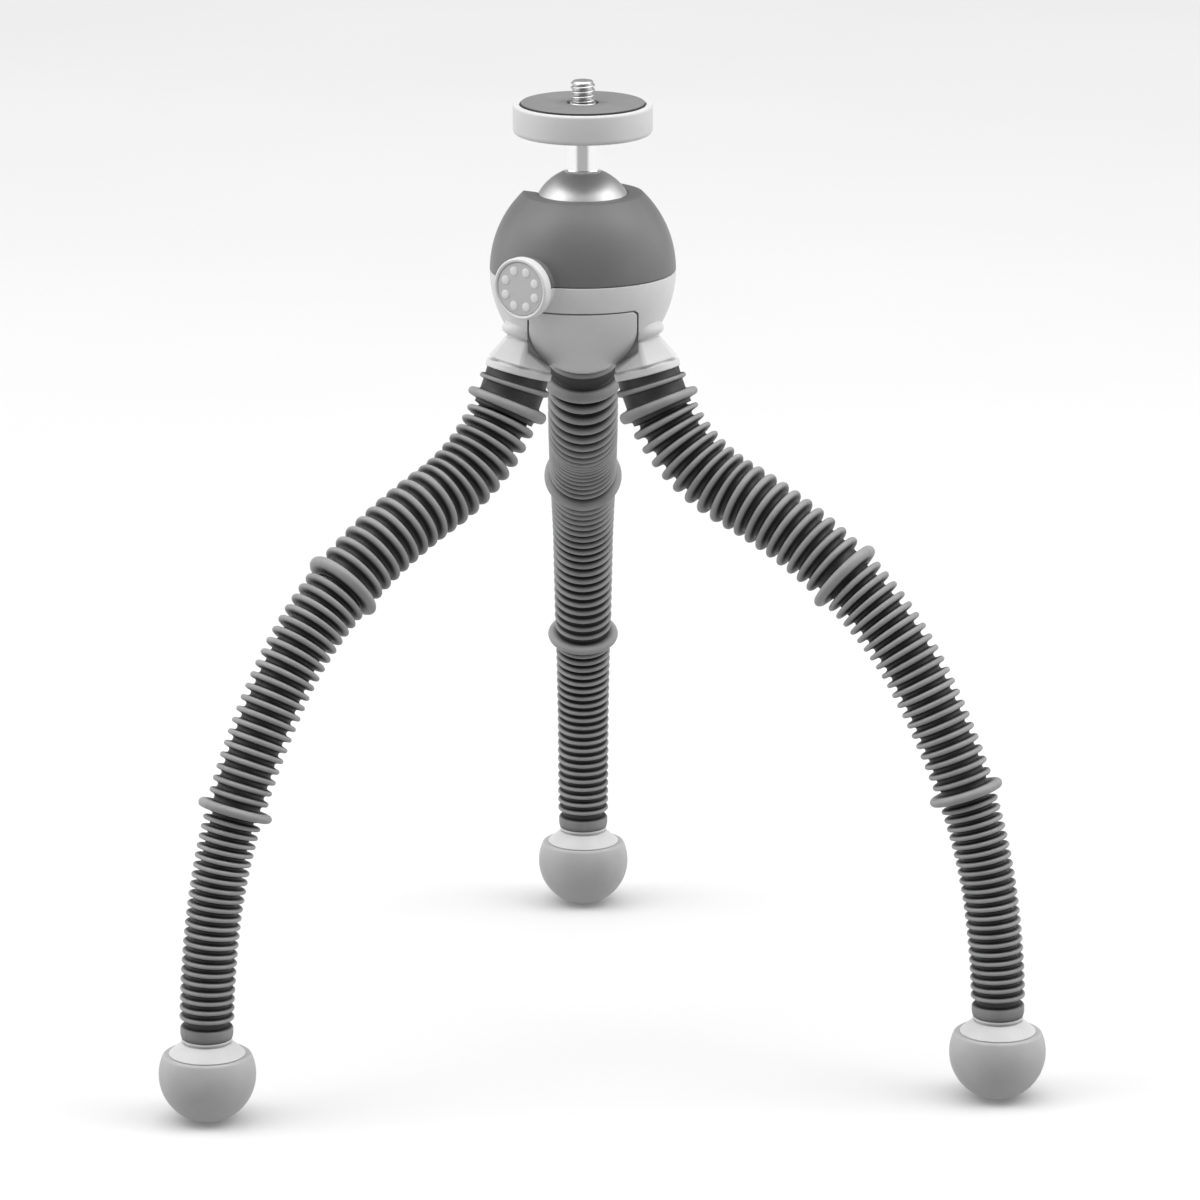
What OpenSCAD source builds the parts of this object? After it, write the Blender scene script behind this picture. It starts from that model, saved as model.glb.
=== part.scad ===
// Flexible-leg tripod with a ball head, in millimetres, +Z up.
// Origin on the floor, below the hub axis. Camera side is -Y.

/* [Hub] */
// Radius of the hub at its seam
hub_r = 24.3; // [23.8:0.1:25.2]
// Profile radius of the upper shell
upper_arc = 28.2; // [27.6:0.1:29.5]
// Profile radius of the lower shell
lower_arc = 28.35; // [28:0.05:29]
// Height of the shell rim above the seam
rim_rise = 20.3; // [19.8:0.1:20.8]
// Depth of the hub below the seam
hub_depth = 27; // [26.5:0.1:27.2]
// Wall of both shells
wall = 2.2; // [2:0.1:2.4]
// Half of the seam between the shells
seam_half = 0.06; // [0.03:0.01:0.12]
// Top of the solid floor of the lower shell, below the seam
floor_drop = 10.1; // [9.9:0.1:10.4]
// Radius of the lightening pocket in that floor
pocket_r = 6.5; // [5:0.1:7.5]
// Floor left under that pocket
pocket_floor = 4; // [3:0.1:5]
// Clearance between pieces that are fixed together
fit = 0.05; // [0.03:0.01:0.06]

/* [Hub panels] */
// Half width of a shield panel
panel_half = 14; // [13:0.1:14.2]
// Top edge of a panel, below the seam
panel_top = 7.3; // [7.1:0.1:8]
// Centre of the round lower edge, below the seam
panel_mid = 12.3; // [11.8:0.1:12.5]
// Corner radius at the top edge
panel_corner = 1.6; // [1:0.1:2.4]
// Thickness of a panel
panel_t = 1.6; // [1.4:0.1:1.7]
// Seam around a panel
panel_gap = 0.35; // [0.2:0.05:0.5]
// Half of the angle that a panel may span
panel_span = 50; // [48.5:0.5:51]
// Nearest that a panel comes to the hub axis
panel_in = 5.5; // [5.2:0.1:6.5]
// Straight side of the relief beside the round edge, below its centre
relief_side = 6.8; // [6:0.1:7]
// Slope of the relief's lower edges
relief_slope = 42; // [41:0.5:45]

/* [Hub screws] */
// Shank radius
bolt_r = 1.4; // [1.2:0.05:1.45]
// Head radius
bolt_head_r = 2.4; // [2.2:0.05:2.5]
// Head height
bolt_head_h = 2; // [1.6:0.1:2.1]
// Underside of the head, below the seam
bolt_seat = 4.9; // [4.7:0.05:5]
// Reach of the shank above the seam
bolt_reach = 7.5; // [6:0.1:8]
// Wall round a screw hole
bolt_wall = 0.9; // [0.7:0.05:0.95]
// Clearance between a screw head and the chassis
bolt_gap = 0.1; // [0.05:0.05:0.2]

/* [Chassis] */
// Outer radius of the chassis
chassis_r = 16.8; // [16.5:0.05:16.85]
// Top of the chassis above the seam
chassis_rise = 8.35; // [8.2:0.05:8.6]
// Ledge that carries the ball race
ledge_rise = 4.4; // [4.2:0.05:4.5]
// Width of the ledge, round the well below the ball
ledge_w = 2.5; // [2.2:0.1:2.8]
// Floor of the well, below the seam
well_drop = 3.8; // [3.7:0.05:4.4]

/* [Ball and race] */
// Ball radius
ball_r = 13.4; // [13.2:0.05:13.45]
// Ball centre above the seam
ball_rise = 13.5; // [13.4:0.05:13.7]
// Lower end of the ball cup in the upper shell, below the ball centre
cup_below = 1.2; // [0.6:0.1:2]
// Running clearance of the ball
ball_fit = 0.05; // [0.04:0.01:0.08]
// How far the race reaches out past the ball
race_out = 0.1; // [0:0.05:0.4]
// Height of the race
race_h = 3.6; // [3:0.1:3.8]
// Bore of the ball for the stem shank
shank_r = 3; // [2.6:0.1:3.4]
// Length of the shank in the ball
shank_len = 9; // [7:0.5:10]

/* [Stem and platform] */
// Stem radius
stem_r = 4.1; // [3.8:0.05:4.2]
// Radius of the foot of the stem on the ball
stem_foot_r = 5.3; // [4.8:0.05:5.4]
// Height of that foot
stem_foot_h = 1.4; // [1:0.1:1.8]
// Underside of the platform above the ball centre
disc_rise = 22.5; // [22.2:0.1:23.5]
// Platform radius
disc_r = 18.2; // [17.4:0.1:18.4]
// Platform height
disc_h = 7.9; // [7.4:0.1:9]
// Rounding of the platform's upper edge
disc_round = 1.3; // [0.8:0.1:1.5]
// Rounding of the platform's lower edge
disc_ease = 0.7; // [0.4:0.1:1]
// Radius of the pad
pad_r = 16.1; // [15.5:0.1:16.3]
// Thickness of the pad
pad_t = 1.2; // [1:0.1:1.4]
// How far the pad stands above the platform
pad_proud = 0.3; // [0.2:0.05:0.4]
// Gap around the pad
pad_gap = 0.35; // [0.2:0.05:0.4]
// Hole in the pad
pad_hole_r = 4.1; // [3.8:0.05:4.4]
// Running clearance of the platform on the stem
spin_fit = 0.05; // [0.04:0.01:0.08]

/* [Camera screw] */
// Radius of the 1/4 inch screw
screw_r = 3.175; // [3.1:0.025:3.25]
// Length above the pad
screw_len = 5.7; // [4.5:0.1:6.5]
// Chamfer at the tip
screw_tip = 0.6; // [0.4:0.1:0.8]
// Radius of the flange that keeps the platform on
flange_r = 5; // [4.8:0.1:6]
// Thickness of the flange
flange_t = 1; // [0.8:0.1:1.3]

/* [Portrait notch] */
// Width of the notch in the shell rim
notch_w = 11.6; // [11.4:0.1:12.4]

/* [Lock knob] */
// Direction of the knob around the hub
knob_az = 236; // [230:1:240]
// Knob axis above the seam
knob_rise = -0.2; // [-0.4:0.05:0.3]
// Knob radius
knob_r = 8.15; // [7.4:0.05:8.6]
// Knob thickness
knob_t = 3; // [2.8:0.1:3.6]
// Gap between boss and knob
knob_stand = 0.15; // [0.1:0.05:0.3]
// Width of the raised rim
knob_rim = 1.1; // [0.9:0.1:1.4]
// Rounding of the rim
knob_round = 0.6; // [0.4:0.1:0.7]
// Depth of the recess in the face
knob_recess = 1.2; // [1:0.1:1.4]
// Web left under the face cap
knob_web = 1; // [0.8:0.1:1.1]
// Thickness of the face cap
cap_t = 0.8; // [0.6:0.05:0.9]
// Number of dots on the cap
dot_count = 8; // [6:1:10]
// Radius of a dot
dot_r = 1.2; // [0.8:0.05:1.3]
// Radius of the ring of dots
dot_ring = 4.9; // [4.4:0.05:5.2]
// Height of a dot
dot_h = 0.25; // [0.15:0.05:0.35]
// Boss that the knob sits on
boss_r = 6.8; // [5.8:0.1:7]
// How far that boss stands out of the hub
boss_rise = 1.85; // [1.4:0.05:2.4]
// Gap between that boss and the collar of the clamp screw
boss_gap = 0.44; // [0.3:0.02:0.8]
// Radius of the clamp screw
clamp_r = 2.4; // [2.1:0.05:2.45]
// Gap between the end of the clamp screw and the ball's gap
clamp_gap = 2; // [1.6:0.1:2.3]
// Radius of its captive collar
collar_r = 3.8; // [3.2:0.1:4.2]
// Thickness of that collar
collar_t = 1.5; // [1:0.1:1.6]
// Running clearance of the clamp screw
clamp_fit = 0.06; // [0.04:0.01:0.08]

/* [Brake shoe] */
// Width of the shoe
shoe_w = 9; // [7.5:0.1:9.5]
// Inner end of the shoe from the hub axis
shoe_in = 3.2; // [2.8:0.1:4]
// Length of the shoe round the end of the clamp screw
shoe_grip = 2.8; // [2.4:0.1:3]
// Room in the shoe before the end of the clamp screw
shoe_slack = 0.6; // [0.5:0.1:0.8]
// Top of the shoe above the seam
shoe_rise = 3.8; // [3.6:0.05:3.95]
// Gap under the ball when the clamp is open
shoe_gap = 0.35; // [0.33:0.01:0.4]
// Sliding clearance of the shoe
shoe_fit = 0.06; // [0.04:0.01:0.08]

/* [Leg sockets] */
// Distance of a socket mouth from the hub axis
socket_reach = 19.6; // [19.4:0.1:20.2]
// Depth of a socket mouth below the seam
socket_drop = 25.6; // [25.3:0.1:26]
// Lean of a socket from the vertical
socket_tilt = 17; // [16:0.5:18]
// Half width of a socket across its six flats, above the lip
socket_half = 8.3; // [8.1:0.1:8.6]
// Half width across the flats at the neck
socket_neck = 5.3; // [5.1:0.1:5.6]
// Corner circle above the lip
socket_cut = 9.3; // [9:0.1:9.5]
// Corner circle at the neck
socket_cut_top = 5.95; // [5.8:0.05:6.05]
// Height of the neck above the mouth
socket_h = 8.7; // [8.4:0.1:9]
// Radius of the bead above the neck
bead_r = 7; // [6.8:0.05:7.2]
// Height of the bead
bead_h = 3.2; // [2.8:0.1:3.4]
// Step from the neck to the bead
bead_step = 0.6; // [0.4:0.1:1]
// Radius of the lip at the mouth
lip_r = 8.75; // [8.5:0.05:9.1]
// Height of the lip
lip_h = 1.9; // [1.6:0.1:2.2]
// Radius of the groove above the lip
lip_neck = 7.9; // [7.7:0.05:8.1]
// Height of that groove
lip_groove = 0.6; // [0.4:0.1:0.8]
// Radius of the seat for the root sleeve
seat_r = 5.2; // [5:0.05:5.4]
// Depth of that seat
seat_d = 3; // [2.6:0.1:3.1]

/* [Leg anchors] */
// Radius of an anchor stud
stud_r = 2; // [1.95:0.05:2.15]
// Reach of the stud above the socket mouth
stud_len = 11; // [9:0.5:12]
// Radius of its flange
stud_flange_r = 3; // [2.6:0.1:3.1]
// Thickness of its flange
stud_flange_t = 1.2; // [1:0.1:1.4]
// Place of its sleeve web below the mouth
stud_out = 4; // [3:0.1:5]

/* [Leg course] */
// Length of the root sleeve below the mouth
root_len = 11.3; // [11:0.1:12]
// Bend of the root
root_bend = 12; // [10:0.5:14]
// Bend of link 1
bend_1 = 37.5; // [34:0.5:40]
// Bend of link 2
bend_2 = -17; // [-20:0.5:-14]
// Bend of link 3
bend_3 = -19.5; // [-23:0.5:-16]
// Bend of link 4
bend_4 = -10.5; // [-13:0.5:-8]
// Bend of link 5
bend_5 = -10.5; // [-12:0.5:-8]
// Swing of the left leg about its first joint
left_swing = 7.5; // [0:0.5:10]
// Swing of the right leg about its first joint
right_swing = 5; // [0:0.5:10]

/* [Leg ribs] */
// Rib pitch of the upper section
pitch_a = 3.66; // [3.5:0.02:3.9]
// Rib pitch of the middle section
pitch_b = 3.03; // [2.9:0.01:3.2]
// Rib pitch of the lower section
pitch_c = 2.44; // [2.3:0.02:2.6]
// Rib thickness as a part of the pitch
rib_part = 0.52; // [0.42:0.01:0.58]
// Ribs on link 1
ribs_1 = 8; // [6:1:9]
// Ribs on link 2
ribs_2 = 9; // [7:1:10]
// Ribs on link 3
ribs_3 = 10; // [8:1:11]
// Ribs on link 4
ribs_4 = 10; // [8:1:11]
// Ribs on link 5
ribs_5 = 11; // [9:1:12]
// Ribs on link 6
ribs_6 = 11; // [9:1:12]
// Rib radius at the top of the leg
rib_top = 9.4; // [8.9:0.05:9.6]
// Rib radius at the end of the upper section
rib_a_end = 9.2; // [8.8:0.05:9.4]
// Rib radius at the start of the middle section
rib_b_start = 9; // [8.6:0.05:9.2]
// Rib radius in the middle section
rib_b_mid = 8.3; // [8:0.05:8.6]
// Rib radius at the end of the middle section
rib_b_end = 7.9; // [7.6:0.05:8.2]
// Rib radius at the start of the lower section
rib_c_start = 7.6; // [7.3:0.05:7.9]
// Rib radius at the end of the lower section
rib_c_end = 7.1; // [6.9:0.05:7.2]
// Radius in the grooves of the upper section
valley_a = 6.8; // [6.5:0.05:7]
// Radius in the grooves of the middle section
valley_b = 6.2; // [5.9:0.05:6.4]
// Radius in the grooves of the lower section
valley_c = 5.5; // [5.3:0.05:5.7]
// Radius of the root sleeve
root_r = 8.2; // [7.8:0.05:8.4]
// Small rib under the socket: distance from the mouth
root_rib_at = 3.1; // [2.8:0.1:3.6]
// Small rib: radius
root_rib_r = 9.4; // [9:0.05:9.8]
// Small rib: thickness
root_rib_t = 1.6; // [1.3:0.1:1.9]
// Thick ring 1: distance from the mouth
ring_1_at = 8.7; // [8.4:0.1:9]
// Thick ring 1: radius
ring_1_r = 10.9; // [10.4:0.05:11.2]
// Thick ring 1: thickness
ring_1_t = 3; // [2.6:0.1:3.2]
// Thick ring 2: radius
ring_2_r = 10.6; // [10.2:0.05:10.9]
// Thick ring 2: thickness
ring_2_t = 3; // [2.6:0.1:3.2]
// Thick ring 3: radius
ring_3_r = 9.8; // [9.4:0.05:10.1]
// Thick ring 3: thickness
ring_3_t = 2.6; // [2.2:0.1:2.8]
// Step from the last rib to thick ring 2
ring_2_lead = 4.6; // [4.2:0.1:5]
// Step from the last rib to thick ring 3
ring_3_lead = 3.65; // [3.4:0.05:4]
// Step from a thick ring to the joint below it
ring_2_tail = 1.9; // [1.8:0.05:2.2]
// Step from thick ring 3 to the joint below it
ring_3_tail = 1.65; // [1.55:0.05:1.9]
// Step from the first joint to the first rib
lead_1 = 2; // [1.6:0.1:2.4]
// Length of the plain end of the leg
end_len = 4.3; // [3.8:0.1:5]
// Radius of the plain end
end_r = 6.85; // [6.5:0.05:7]
// Gap between two sleeves at a joint
sleeve_gap = 0.08; // [0.05:0.01:0.12]
// Gap between the root sleeve and the first link, which swings
root_gap = 0.6; // [0.6:0.05:0.8]

/* [Leg core] */
// Ball of the core joints in the upper section
core_ball_a = 3.2; // [3:0.05:3.3]
// Ball of the core joints in the middle section
core_ball_b = 2.9; // [2.7:0.05:3]
// Ball of the core joints in the lower section
core_ball_c = 2.6; // [2.4:0.05:2.65]
// Clearance of a ball in its cup
cup_fit = 0.08; // [0.06:0.01:0.1]
// Wall of a cup
cup_wall = 1.1; // [1:0.05:1.15]
// Height of the cup's rim over the ball centre, as a part of the ball
cup_hold = 0.3; // [0.25:0.01:0.34]
// Rod radius as a part of the ball
rod_part = 0.56; // [0.5:0.01:0.58]
// Length of the flange that centres a sleeve
web_len = 2; // [1.5:0.1:3]

/* [Feet] */
// Height of a foot with its collar
foot_h = 21; // [20.4:0.1:22]
// Radius of the foot bowl
foot_r = 12.6; // [12.2:0.1:13]
// Depth of the flat under the foot
foot_flat = 0.5; // [0.3:0.05:0.8]
// Rounding of the bowl's upper edge
foot_round = 1; // [0.6:0.1:1.4]
// Radius of the collar's upper lip
collar_lip_r = 7; // [6.8:0.05:7.3]
// Height of the collar's upper lip
collar_lip_h = 1.5; // [1.2:0.1:1.8]
// Radius of the collar's neck
collar_neck_r = 6.6; // [6.3:0.05:6.7]
// Radius of the collar's lower edge
collar_edge_r = 10.4; // [10:0.1:10.6]
// Depth of the collar's lower edge below its top
collar_edge_d = 3.8; // [3.5:0.1:4.2]
// Radius of the collar's spigot
spigot_r = 8; // [7.5:0.1:8.4]
// Depth of the spigot below the collar's top
spigot_d = 9; // [8:0.1:10]
// Radius of the stud in a foot
foot_stud_r = 2.6; // [2.3:0.05:2.9]
// Length of the stud in a foot
foot_stud_len = 7.5; // [6.5:0.1:8]

/* [Hidden] */
$fn = 48;
far = 60;
eps = 0.01;
leg_az = [90, 210, 330];
swing = [0, left_swing, right_swing];
rear = 0;
left = 1;
right = 2;
panel_az = [270, 30, 150];
notch_az = knob_az - 90;
bend_6 = -(socket_tilt + root_bend + bend_1 + bend_2 + bend_3 + bend_4 + bend_5);
bends = [root_bend, bend_1, bend_2, bend_3, bend_4, bend_5, bend_6];
len_1 = lead_1 + (ribs_1 - 0.5) * pitch_a;
len_2 = (ribs_2 - 0.5) * pitch_a + ring_2_lead + ring_2_tail;
len_3 = ring_2_tail + (ribs_3 - 0.5) * pitch_b;
len_4 = (ribs_4 - 0.5) * pitch_b + ring_3_lead + ring_3_tail;
len_5 = ring_3_tail + (ribs_5 - 0.5) * pitch_c;
len_6 = ribs_6 * pitch_c + pitch_c / 2 + end_len;
lens = [root_len, len_1, len_2, len_3, len_4, len_5, len_6];
leads = [0, lead_1, pitch_a / 2, ring_2_tail, pitch_b / 2, ring_3_tail, pitch_c / 2];
ribs = [0, ribs_1, ribs_2, ribs_3, ribs_4, ribs_5, ribs_6];
pitches = [0, pitch_a, pitch_a, pitch_b, pitch_b, pitch_c, pitch_c];
rib_a_mid = (rib_top + rib_a_end) / 2;
rib_c_mid = (rib_c_start + rib_c_end * 3) / 4;
rib_from = [0, rib_top, rib_a_mid, rib_b_start, rib_b_mid, rib_c_start, rib_c_mid];
rib_to = [0, rib_a_mid, rib_a_end, rib_b_mid, rib_b_end, rib_c_mid, rib_c_end];
valleys = [root_r, valley_a, valley_a, valley_b, valley_b, valley_c, valley_c];
balls = [0, core_ball_a, core_ball_a, core_ball_b, core_ball_b, core_ball_c, core_ball_c];
bore_a = core_ball_a + cup_fit + cup_wall + fit;
bore_b = core_ball_b + cup_fit + cup_wall + fit;
bore_c = core_ball_c + cup_fit + cup_wall + fit;
bores = [bore_a, bore_a, bore_a, bore_b, bore_b, bore_c, bore_c];
// Angle from the vertical, reach and height at the start of each link, from the socket mouth.
function tilt_at(k) = k == 0 ? socket_tilt : tilt_at(k - 1) + bends[k - 1];
function chord(k) = 2 * curve(k) * sin(bends[k] / 2);
function curve(k) = lens[k] / (bends[k] * PI / 180);
function reach_at(k) = k == 0 ? 0 : reach_at(k - 1) + chord(k - 1) * sin(tilt_at(k - 1) + bends[k - 1] / 2);
function drop_at(k) = k == 0 ? 0 : drop_at(k - 1) + chord(k - 1) * cos(tilt_at(k - 1) + bends[k - 1] / 2);
seam_z = foot_h + drop_at(len(lens)) + socket_drop;
ball_z = seam_z + ball_rise;
disc_z = ball_z + disc_rise;
pad_z = disc_z + disc_h + pad_proud;
stem_flat = sqrt(ball_r * ball_r - stem_foot_r * stem_foot_r);
stem_top = disc_rise + disc_h + pad_proud - pad_t - flange_t - fit * 2;
boss_out = hub_r + boss_rise;
knob_in = boss_out + knob_stand;
bolt_circle = chassis_r + bolt_head_r + bolt_gap;
boss_in = chassis_r + clamp_fit + collar_t + boss_gap;
race_r = ball_r + race_out;
well_r = race_r - ledge_w;
clamp_in = sqrt(pow(ball_r + shoe_gap, 2) - pow(ball_rise - knob_rise - clamp_r, 2)) + clamp_gap;
shoe_out = clamp_in + shoe_grip;

light = [0.78, 0.78, 0.78];
mid = [0.52, 0.52, 0.52];
dark = [0.16, 0.16, 0.16];
rubber = [0.3, 0.3, 0.3];
steel = [0.7, 0.71, 0.72];
brass = [0.72, 0.6, 0.34];

// Node to build, or all of them

// Frames

module on_hub() {
    translate([0, 0, seam_z]) children();
}

module on_ball() {
    translate([0, 0, ball_z]) children();
}

// X along the knob axis, outward, from the hub axis
module on_knob() {
    on_hub() rotate([0, 0, knob_az]) translate([0, 0, knob_rise]) children();
}

// Socket mouth of one leg, -Z down the leg
module on_socket(leg) {
    on_hub() rotate([0, 0, leg_az[leg]]) translate([socket_reach, 0, -socket_drop])
        rotate([0, -socket_tilt, 0]) children();
}

// Start of link k of one leg, -Z down the leg and X outward
module on_link(leg, k) {
    on_hub() rotate([0, 0, leg_az[leg]]) translate([socket_reach + reach_at(1), 0, 0])
        rotate([0, 0, swing[leg]]) translate([reach_at(k) - reach_at(1), 0, -socket_drop - drop_at(k)])
        rotate([0, -tilt_at(k), 0]) children();
}

// A place on the bent axis of link k, s from its start
module at(k, s) {
    turn = bends[k] * s / lens[k];
    translate([curve(k) * (1 - cos(turn)), 0, -curve(k) * sin(turn)]) rotate([0, -turn, 0]) children();
}

// A flat section swept along the bent axis of link k, from s to t
module along(k, s, t) {
    from = bends[k] > 0 ? 180 + bends[k] * s / lens[k] : bends[k] * t / lens[k];
    translate([curve(k), 0, 0]) rotate([90, 0, 0]) rotate([0, 0, from])
        rotate_extrude(angle = abs(bends[k]) * (t - s) / lens[k])
        translate([abs(curve(k)), 0]) children();
}

module ring_2d(outer, inner) {
    difference() {
        circle(outer);
        circle(inner);
    }
}

// A flat rib with a rounded rim
module rib(outer, t, hole) {
    soft = t * 0.42;
    rotate_extrude() {
        translate([hole, -t / 2]) square([outer - soft - hole, t]);
        translate([hole, soft - t / 2]) square([outer - hole, t - 2 * soft]);
        translate([outer - soft, t / 2 - soft]) circle(soft);
        translate([outer - soft, soft - t / 2]) circle(soft);
    }
}

// Hub

module upper_outline(inset) {
    intersection() {
        translate([hub_r - upper_arc, 0]) circle(upper_arc - inset, $fn = 96);
        square([far, rim_rise]);
    }
}

module lower_outline(inset) {
    intersection() {
        translate([hub_r - lower_arc, 0]) circle(lower_arc - inset, $fn = 96);
        translate([0, -hub_depth]) square([far, hub_depth]);
    }
}

module knob_boss() {
    translate([0, 0, knob_rise]) rotate([0, 90, 0]) translate([0, 0, boss_in])
        cylinder(h = boss_out - boss_in, r = boss_r);
}

module knob_bore() {
    translate([0, 0, knob_rise]) rotate([0, 90, 0]) cylinder(h = far, r = clamp_r + clamp_fit);
}

module bolt_places() {
    for (a = panel_az) rotate([0, 0, a]) translate([bolt_circle, 0, 0]) children();
}

module upper_shell() {
    tube_r = chassis_r;
    tube_in = ball_r + ball_fit * 4;
    color(mid) on_hub() difference() {
        union() {
            difference() {
                rotate_extrude() upper_outline(0);
                rotate_extrude() difference() {
                    upper_outline(wall);
                    translate([0, ball_rise]) square([tube_r, far]);
                    translate([0, chassis_rise + fit]) square([tube_r, far]);
                }
            }
            bolt_places() translate([0, 0, seam_half])
                cylinder(h = bolt_reach + 1.5, r = bolt_r + fit + bolt_wall);
            rotate([0, 0, knob_az]) difference() {
                knob_boss();
                translate([0, 0, -far / 2]) cube([far * 2, far, far], center = true);
            }
        }
        translate([0, 0, ball_rise]) sphere(ball_r + ball_fit, $fn = 96);
        cylinder(h = ball_rise - cup_below, r = tube_in);
        translate([0, 0, seam_half - 1]) cylinder(h = 1, r = far);
        bolt_places() cylinder(h = bolt_reach + 0.5, r = bolt_r + fit);
        rotate([0, 0, knob_az]) knob_bore();
        rotate([0, 0, notch_az]) translate([0, 0, ball_rise]) rotate([90, 0, 90]) linear_extrude(far) {
            circle(notch_w / 2);
            translate([-notch_w / 2, 0]) square([notch_w, far]);
        }
    }
}

// Shield outline, across and up
module shield(grow) {
    half = panel_half + grow;
    top = grow - panel_top;
    translate([0, -panel_mid]) circle(half, $fn = 96);
    translate([-half, -panel_mid]) square([half * 2, panel_mid + top - panel_corner]);
    translate([panel_corner - half, -panel_mid]) square([(half - panel_corner) * 2, panel_mid + top]);
    for (s = [-1, 1]) translate([s * (half - panel_corner), top - panel_corner]) circle(panel_corner);
}

// Opening round a panel, with a wedge beside each half of its round edge
module relief() {
    half = panel_half + panel_gap;
    low = panel_mid + relief_side;
    shield(panel_gap);
    polygon([
        [half, -panel_mid], [half, -low], [0, -low - half * tan(relief_slope)], [-half, -low], [-half, -panel_mid],
    ]);
}

// A flat outline carried out from the hub axis, within the angle that a panel may span
module panel_block(grow) {
    side = far * tan(panel_span) + grow * 2;
    intersection() {
        translate([panel_in - grow, 0, 0]) rotate([90, 0, 90]) linear_extrude(far) intersection() {
            children();
            translate([-far / 2, -far]) square([far, far - panel_top + grow]);
        }
        translate([0, 0, -far / 2]) linear_extrude(far)
            polygon([[0, -grow * 2], [far, -side], [far, side], [0, grow * 2]]);
    }
}

// Lip, six-sided flare, neck and bead of a socket
module socket_body() {
    flare = lip_h + lip_groove;
    lean = atan((socket_half - socket_neck) / (socket_h - flare));
    bead_z = socket_h + bead_step + bead_h / 2;
    difference() {
        translate([0, 0, flare]) cylinder(h = socket_h - flare, r1 = socket_cut, r2 = socket_cut_top);
        for (side = [30 : 60 : 330]) rotate([0, 0, side]) translate([socket_half, 0, flare])
            rotate([0, -lean, 0]) translate([0, -far / 2, -far / 2]) cube(far);
    }
    cylinder(h = lip_h, r = lip_r);
    cylinder(h = flare + lip_groove / 2, r = lip_neck);
    cylinder(h = bead_z, r = socket_neck - fit * 2);
    translate([0, 0, bead_z]) rotate_extrude() {
        translate([0, -bead_h / 2]) square([bead_r - bead_h / 2, bead_h]);
        translate([bead_r - bead_h / 2, 0]) intersection() {
            circle(bead_h / 2);
            translate([0, -bead_h]) square(bead_h * 2);
        }
    }
}

module socket_bore() {
    translate([0, 0, -1]) cylinder(h = seat_d + 1, r = seat_r);
    cylinder(h = seat_d + stud_flange_t + fit * 2, r = stud_flange_r + fit);
    cylinder(h = stud_len + fit * 2, r = stud_r + fit);
}

module lower_shell() {
    color(light) difference() {
        union() {
            on_hub() rotate_extrude() lower_outline(0);
            for (leg = [rear, left, right]) on_socket(leg) socket_body();
            on_hub() rotate([0, 0, knob_az]) difference() {
                knob_boss();
                translate([0, 0, far / 2]) cube([far * 2, far, far], center = true);
            }
        }
        on_hub() difference() {
            rotate_extrude() intersection() {
                lower_outline(wall);
                translate([0, -floor_drop]) square([far, far]);
            }
            bolt_places() translate([0, 0, -bolt_seat]) {
                cylinder(h = far, r = bolt_r + fit + bolt_wall);
                translate([0, -bolt_r, 0]) cube([bolt_head_r * 1.5, bolt_r * 2, far]);
            }
            rotate([0, 0, knob_az]) knob_boss();
        }
        on_hub() translate([0, 0, -seam_half]) cylinder(h = 4 * wall, r = far);
        on_hub() translate([0, 0, pocket_floor - hub_depth]) cylinder(h = hub_depth, r = pocket_r);
        on_hub() bolt_places() {
            translate([0, 0, -hub_depth]) cylinder(h = far, r = bolt_r + fit);
            translate([0, 0, -hub_depth - 1])
                cylinder(h = hub_depth + 1 - bolt_seat, r = bolt_head_r + fit * 2);
        }
        on_hub() rotate([0, 0, knob_az]) knob_bore();
        for (leg = [rear, left, right]) on_socket(leg) socket_bore();
        on_hub() for (a = panel_az) rotate([0, 0, a]) difference() {
            panel_block(panel_gap) relief();
            rotate_extrude() lower_outline(panel_t + fit);
        }
    }
}

module hub_panels() {
    color(light) on_hub() for (a = panel_az) rotate([0, 0, a]) intersection() {
        panel_block(0) shield(0);
        rotate_extrude() difference() {
            lower_outline(0);
            lower_outline(panel_t);
        }
    }
}

module hub_screws() {
    color(steel) on_hub() bolt_places() difference() {
        union() {
            translate([0, 0, -bolt_seat - bolt_head_h - fit]) cylinder(h = bolt_head_h, r = bolt_head_r);
            translate([0, 0, -bolt_seat - bolt_head_h / 2])
                cylinder(h = bolt_seat + bolt_head_h / 2 + bolt_reach, r = bolt_r);
        }
        translate([0, 0, -bolt_seat - bolt_head_h - 1]) cylinder(h = 2, r = bolt_r, $fn = 6);
    }
}

module chassis() {
    slot_h = shoe_rise + shoe_fit * 3 + well_drop;
    color(dark) on_hub() difference() {
        translate([0, 0, fit - floor_drop]) cylinder(h = chassis_rise + floor_drop - fit, r = chassis_r);
        translate([0, 0, ledge_rise]) cylinder(h = far, r = race_r + ball_fit);
        translate([0, 0, -well_drop]) cylinder(h = far, r = well_r);
        rotate([0, 0, knob_az]) {
            translate([0, -shoe_w / 2 - shoe_fit, -well_drop - shoe_fit])
                cube([shoe_out + 0.5, shoe_w + shoe_fit * 2, slot_h]);
            knob_bore();
        }
        translate([0, 0, -floor_drop - 1]) cylinder(h = floor_drop + 1 - well_drop - wall, r = pocket_r);
    }
}

module ball_race() {
    color(light) on_hub() difference() {
        translate([0, 0, ledge_rise + ball_fit]) cylinder(h = race_h, r = race_r);
        translate([0, 0, ball_rise]) sphere(ball_r + ball_fit, $fn = 96);
    }
}

// Head

module head_ball() {
    color(steel) on_ball() difference() {
        sphere(ball_r, $fn = 96);
        translate([0, 0, stem_flat]) cylinder(h = ball_r, r = ball_r);
        translate([0, 0, stem_flat - shank_len - fit]) cylinder(h = ball_r * 2, r = shank_r + fit);
    }
}

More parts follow.
